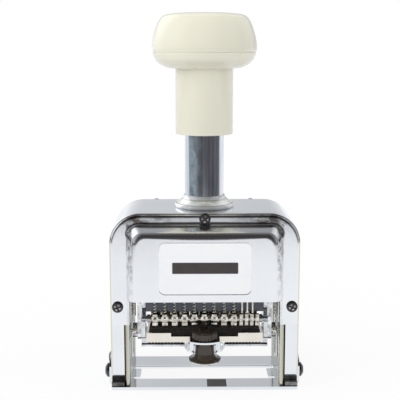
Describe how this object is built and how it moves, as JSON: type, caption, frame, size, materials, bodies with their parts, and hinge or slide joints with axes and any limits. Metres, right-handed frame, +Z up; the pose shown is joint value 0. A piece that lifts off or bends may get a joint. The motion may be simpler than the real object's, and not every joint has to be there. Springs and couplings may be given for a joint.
{
  "type": "automatic numbering machine",
  "caption": "Desk numbering machine: sprung mushroom handle on a column, chrome arch with hopper-shaped cover, wheel carriage, swinging ink pad and windowed base.",
  "frame": {"origin": "centre of the underside of the base plate, under the column", "axes": "+Z up along the column, -Y to the front with the label, +X to the right as seen from the front"},
  "size_m": [0.0846, 0.051, 0.1553],
  "materials": {
    "chrome": "polished chrome plate",
    "chromed_sheet": "satin chrome plate",
    "black_rubber": "smooth",
    "black_oxide": "black oxide, slightly glossy",
    "label": "matt white lacquer",
    "brass": "turned",
    "spring_steel": "drawn wire",
    "cream_plastic": "smooth moulded",
    "steel": "nickel-plated",
    "dark_steel": "blackened, satin",
    "wheel_brass": "nickel-washed brass",
    "nickel": "nickel plate",
    "pale_tray": "white nickel",
    "beige_tray": "satin beige",
    "ink_felt": "felt soaked in black ink",
    "black_plastic": "smooth moulded"
  },
  "bodies": {
    "frame": {"base_frame": "chrome", "foot_strips": "black_rubber", "base_screws": "black_oxide", "outer_frame": "chrome", "guide_plate_left": "chrome", "guide_plate_right": "chrome", "front_cover": "chromed_sheet", "label_plate": "label", "front_cover_screws": "black_oxide", "rear_cover": "chromed_sheet", "rear_cover_screws": "black_oxide", "column_tube": "chrome", "column_collar": "chrome", "guide_bush": "brass", "return_spring": "spring_steel", "lock_spring": "spring_steel"},
    "plunger": {"knob_cap": "cream_plastic", "handle_body": "cream_plastic", "plunger_rod": "steel", "spring_cup": "brass", "carriage_bridge": "steel", "carriage_plate_left": "steel", "carriage_plate_right": "steel", "tie_rods": "steel", "wheel_shaft": "steel", "detent_rod": "steel", "spring_bar": "dark_steel", "detent_springs": "spring_steel", "repeat_wires": "spring_steel", "repeat_levers": "nickel", "pad_pivots": "chrome"},
    "feed": {"feed_frame": "steel", "feed_comb": "steel"},
    "pad": {"pad_arm_left": "chrome", "pad_arm_right": "chrome", "pad_tray": "pale_tray"},
    "cassette": {"ink_cassette": "beige_tray", "ink_pad": "ink_felt", "latch_bracket": "chrome"},
    "latch": {"latch_knob": "black_plastic"},
    "lock": {"lock_button": "chrome"},
    "drum": {"repeat_drum": "wheel_brass"},
    "wheel_body_1": {"wheel_1": "wheel_brass"},
    "detent_body_1": {"detent_1": "nickel"},
    "wheel_body_2": {"wheel_2": "wheel_brass"},
    "detent_body_2": {"detent_2": "nickel"},
    "wheel_body_3": {"wheel_3": "wheel_brass"},
    "detent_body_3": {"detent_3": "nickel"},
    "wheel_body_4": {"wheel_4": "wheel_brass"},
    "detent_body_4": {"detent_4": "nickel"},
    "wheel_body_5": {"wheel_5": "wheel_brass"},
    "detent_body_5": {"detent_5": "nickel"},
    "wheel_body_6": {"wheel_6": "wheel_brass"},
    "detent_body_6": {"detent_6": "nickel"},
    "wheel_body_7": {"wheel_7": "wheel_brass"},
    "detent_body_7": {"detent_7": "nickel"},
    "wheel_body_8": {"wheel_8": "wheel_brass"},
    "detent_body_8": {"detent_8": "nickel"},
    "wheel_body_9": {"wheel_9": "wheel_brass"},
    "detent_body_9": {"detent_9": "nickel"}
  },
  "joints": [
    {"name": "plunger_slide", "type": "slide", "parent": "frame", "child": "plunger", "axis": [0, 0, -1], "range_m": [0, 0.024], "stiffness_N_per_m": 420, "springref_m": -0.02, "deforming": ["return_spring"]},
    {"name": "pad_swing", "type": "hinge", "parent": "plunger", "child": "pad", "pos_m": [0, -0.0095, 0.042], "axis": [-1, 0, 0], "range_deg": [0, 90]},
    {"name": "feed_swing", "type": "hinge", "parent": "plunger", "child": "feed", "pos_m": [0, -0.001, 0.0353], "axis": [-1, 0, 0], "range_deg": [0, 40]},
    {"name": "cassette_slide", "type": "slide", "parent": "pad", "child": "cassette", "axis": [0, -1, 0], "range_m": [0, 0.02]},
    {"name": "latch_turn", "type": "hinge", "parent": "cassette", "child": "latch", "pos_m": [0, -0.0168, 0.016], "axis": [0, 0, 1], "range_deg": [0, 90]},
    {"name": "lock_press", "type": "slide", "parent": "frame", "child": "lock", "axis": [0, -1, 0], "range_m": [0, 0.002], "stiffness_N_per_m": 300, "springref_m": -0.002},
    {"name": "drum_turn", "type": "hinge", "parent": "plunger", "child": "drum", "pos_m": [0, -0.001, 0.0353], "axis": [1, 0, 0], "continuous": true},
    {"name": "wheel_turn_1", "type": "hinge", "parent": "plunger", "child": "wheel_body_1", "pos_m": [0, -0.001, 0.0353], "axis": [1, 0, 0], "continuous": true},
    {"name": "wheel_turn_2", "type": "hinge", "parent": "plunger", "child": "wheel_body_2", "pos_m": [0, -0.001, 0.0353], "axis": [1, 0, 0], "continuous": true},
    {"name": "wheel_turn_3", "type": "hinge", "parent": "plunger", "child": "wheel_body_3", "pos_m": [0, -0.001, 0.0353], "axis": [1, 0, 0], "continuous": true},
    {"name": "wheel_turn_4", "type": "hinge", "parent": "plunger", "child": "wheel_body_4", "pos_m": [0, -0.001, 0.0353], "axis": [1, 0, 0], "continuous": true},
    {"name": "wheel_turn_5", "type": "hinge", "parent": "plunger", "child": "wheel_body_5", "pos_m": [0, -0.001, 0.0353], "axis": [1, 0, 0], "continuous": true},
    {"name": "wheel_turn_6", "type": "hinge", "parent": "plunger", "child": "wheel_body_6", "pos_m": [0, -0.001, 0.0353], "axis": [1, 0, 0], "continuous": true},
    {"name": "wheel_turn_7", "type": "hinge", "parent": "plunger", "child": "wheel_body_7", "pos_m": [0, -0.001, 0.0353], "axis": [1, 0, 0], "continuous": true},
    {"name": "wheel_turn_8", "type": "hinge", "parent": "plunger", "child": "wheel_body_8", "pos_m": [0, -0.001, 0.0353], "axis": [1, 0, 0], "continuous": true},
    {"name": "wheel_turn_9", "type": "hinge", "parent": "plunger", "child": "wheel_body_9", "pos_m": [0, -0.001, 0.0353], "axis": [1, 0, 0], "continuous": true},
    {"name": "detent_lift_1", "type": "hinge", "parent": "plunger", "child": "detent_body_1", "pos_m": [0, -0.0144, 0.0299], "axis": [-1, 0, 0], "range_deg": [0, 6], "stiffness_Nm_per_rad": 0.01, "springref_deg": -5.73},
    {"name": "detent_lift_2", "type": "hinge", "parent": "plunger", "child": "detent_body_2", "pos_m": [0, -0.0144, 0.0299], "axis": [-1, 0, 0], "range_deg": [0, 6], "stiffness_Nm_per_rad": 0.01, "springref_deg": -5.73},
    {"name": "detent_lift_3", "type": "hinge", "parent": "plunger", "child": "detent_body_3", "pos_m": [0, -0.0144, 0.0299], "axis": [-1, 0, 0], "range_deg": [0, 6], "stiffness_Nm_per_rad": 0.01, "springref_deg": -5.73},
    {"name": "detent_lift_4", "type": "hinge", "parent": "plunger", "child": "detent_body_4", "pos_m": [0, -0.0144, 0.0299], "axis": [-1, 0, 0], "range_deg": [0, 6], "stiffness_Nm_per_rad": 0.01, "springref_deg": -5.73},
    {"name": "detent_lift_5", "type": "hinge", "parent": "plunger", "child": "detent_body_5", "pos_m": [0, -0.0144, 0.0299], "axis": [-1, 0, 0], "range_deg": [0, 6], "stiffness_Nm_per_rad": 0.01, "springref_deg": -5.73},
    {"name": "detent_lift_6", "type": "hinge", "parent": "plunger", "child": "detent_body_6", "pos_m": [0, -0.0144, 0.0299], "axis": [-1, 0, 0], "range_deg": [0, 6], "stiffness_Nm_per_rad": 0.01, "springref_deg": -5.73},
    {"name": "detent_lift_7", "type": "hinge", "parent": "plunger", "child": "detent_body_7", "pos_m": [0, -0.0144, 0.0299], "axis": [-1, 0, 0], "range_deg": [0, 6], "stiffness_Nm_per_rad": 0.01, "springref_deg": -5.73},
    {"name": "detent_lift_8", "type": "hinge", "parent": "plunger", "child": "detent_body_8", "pos_m": [0, -0.0144, 0.0299], "axis": [-1, 0, 0], "range_deg": [0, 6], "stiffness_Nm_per_rad": 0.01, "springref_deg": -5.73},
    {"name": "detent_lift_9", "type": "hinge", "parent": "plunger", "child": "detent_body_9", "pos_m": [0, -0.0144, 0.0299], "axis": [-1, 0, 0], "range_deg": [0, 6], "stiffness_Nm_per_rad": 0.01, "springref_deg": -5.73}
  ],
  "couplings": [
    {"joint": "pad_swing", "follows": "plunger_slide", "rad_per_m": 65.45},
    {"joint": "feed_swing", "follows": "plunger_slide", "rad_per_m": 29.089}
  ]
}
